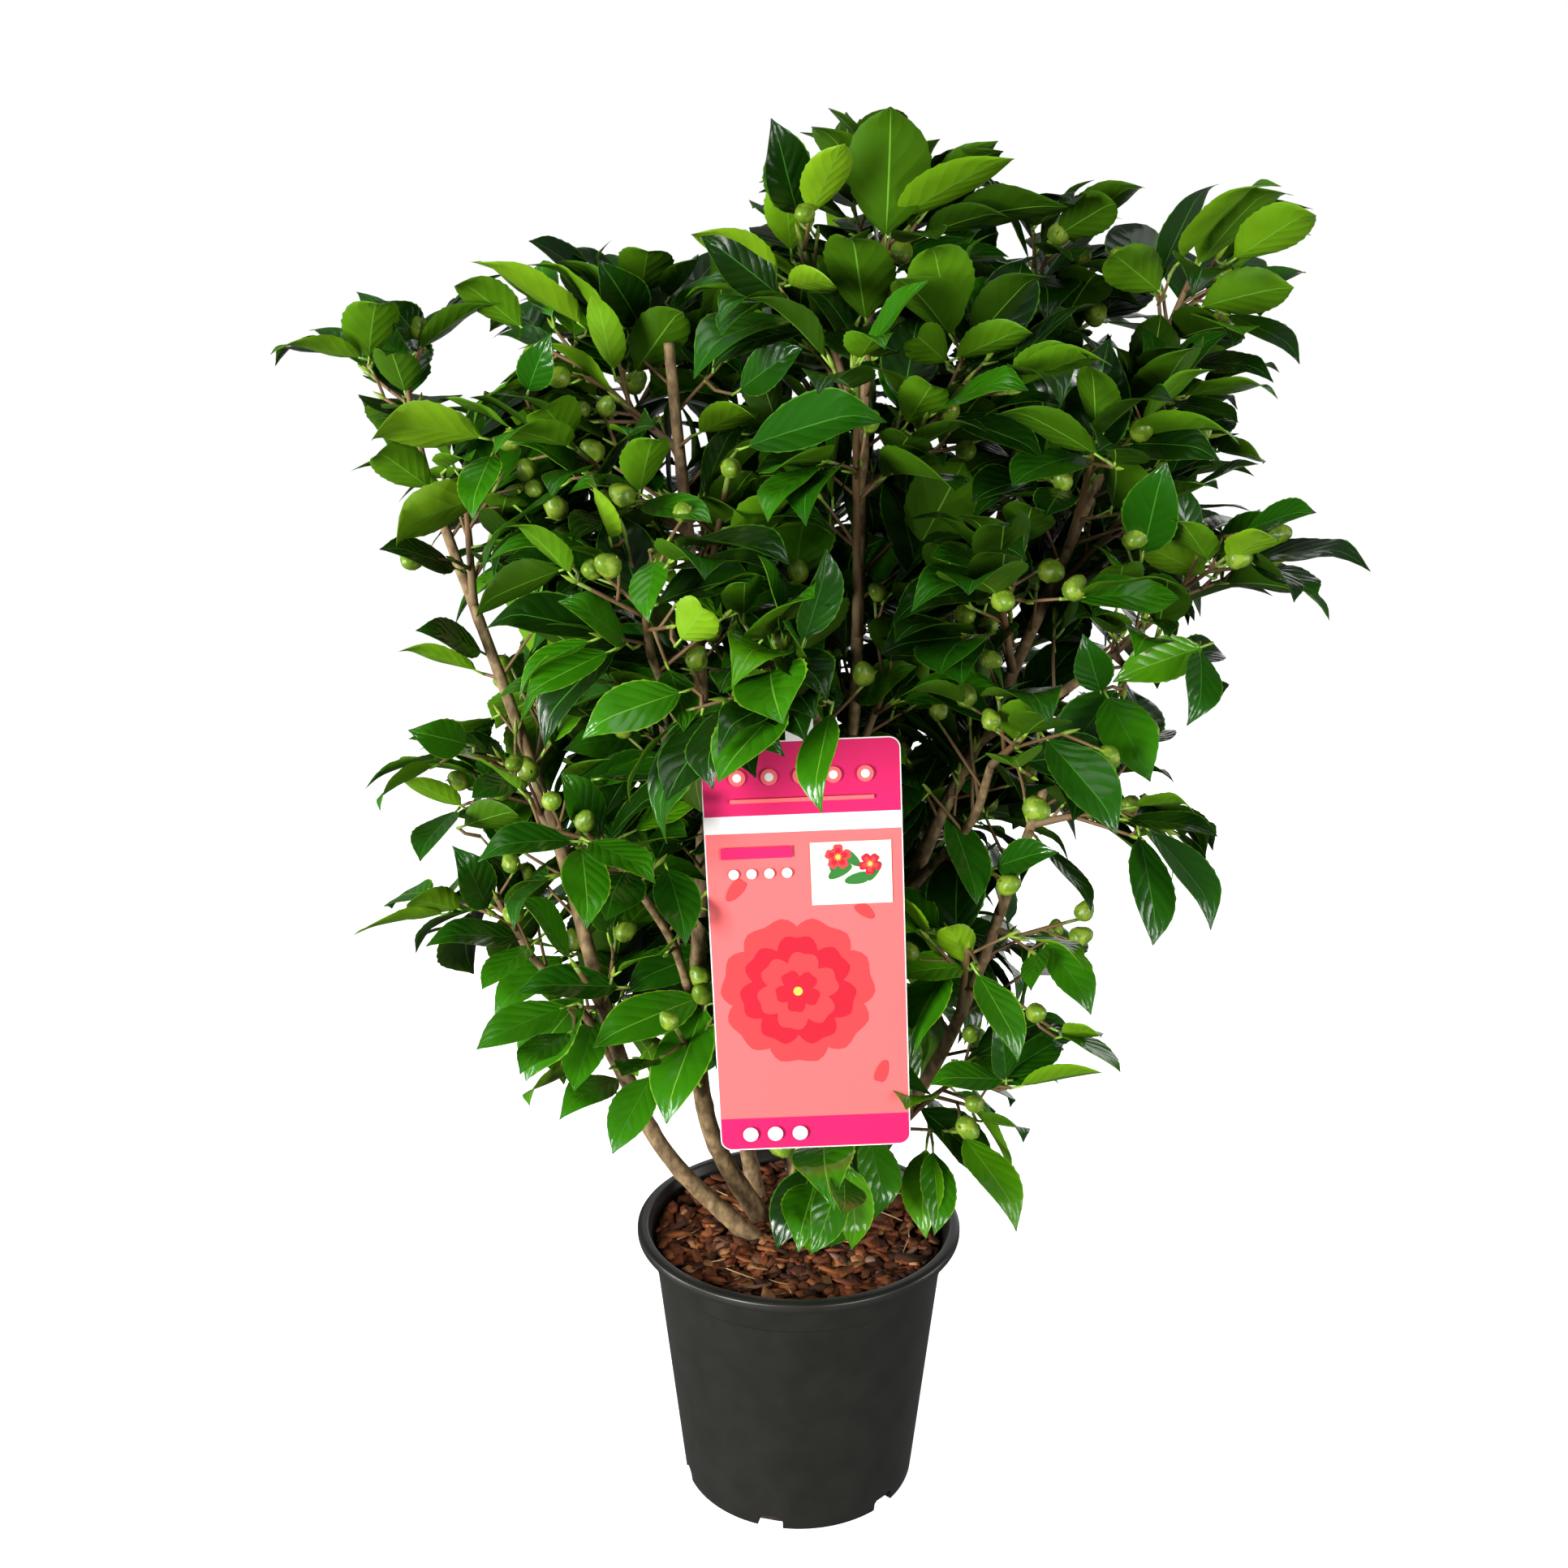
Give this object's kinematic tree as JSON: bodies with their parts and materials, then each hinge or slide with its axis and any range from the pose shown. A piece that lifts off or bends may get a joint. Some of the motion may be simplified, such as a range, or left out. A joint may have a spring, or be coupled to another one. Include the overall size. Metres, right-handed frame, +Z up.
{
  "type": "camellia shrub in a nursery pot",
  "caption": "Evergreen camellia shrub with glossy leaves and flower buds on several leaning stems, in a round black nursery pot filled with bark mulch, with a care label hung in front.",
  "frame": {"origin": "middle of the pot's flat underside", "axes": "+Z up, the height; the front, with the label, faces -Y; +X to the right seen from the front"},
  "size_m": [0.5767, 0.4421, 0.7741],
  "materials": {
    "pot": "moulded black, faintly satin",
    "mulch": "loose reddish-brown bark chips",
    "bark": "grey-tan fissured bark",
    "foliage": "glossy evergreen leaves, green buds and red-brown twigs",
    "label": null
  },
  "bodies": {
    "root": {"pot": "pot", "soil": "mulch", "label": "label", "stem_left_low": "bark", "stem_left": "bark", "stem_centre": "bark", "stem_right": "bark", "stem_right_low": "bark", "stem_back_right": "bark", "stem_back_left": "bark", "stem_back": "bark", "bough_front": "bark", "bough_left_mid": "bark", "bough_left_out": "bark", "bough_left_front": "bark", "bough_right_front": "bark", "bough_right_mid": "bark", "mass_top_centre": "foliage", "mass_top_centre_left": "foliage", "mass_top_right_inner": "foliage", "mass_top_right": "foliage", "mass_top_left": "foliage", "mass_top_left_inner": "foliage", "mass_top_back": "foliage", "mass_far_left": "foliage", "mass_left_high_out": "foliage", "mass_left_high": "foliage", "mass_centre_left_high": "foliage", "mass_front_high": "foliage", "mass_right_high_front": "foliage", "mass_right_high_out": "foliage", "mass_right_high_inner": "foliage", "mass_right_upper": "foliage", "mass_back_left": "foliage", "mass_back_right": "foliage", "mass_back": "foliage", "mass_left_front": "foliage", "mass_centre_right": "foliage", "mass_centre_left": "foliage", "mass_left_mid_back": "foliage", "mass_front": "foliage", "mass_right_front_high": "foliage", "mass_right_mid": "foliage", "mass_right_mid_low": "foliage", "mass_right_front": "foliage", "mass_left_mid_out": "foliage", "mass_left_mid_front": "foliage", "mass_back_mid_left": "foliage", "mass_back_mid_right": "foliage", "mass_left_low_out": "foliage", "mass_left_low": "foliage", "mass_left_foot": "foliage", "mass_right_low_out": "foliage", "mass_right_low": "foliage", "mass_right_front_low": "foliage", "mass_right_foot": "foliage", "mass_front_foot": "foliage", "mass_back_low_left": "foliage", "mass_back_low_right": "foliage"}
  },
  "joints": []
}
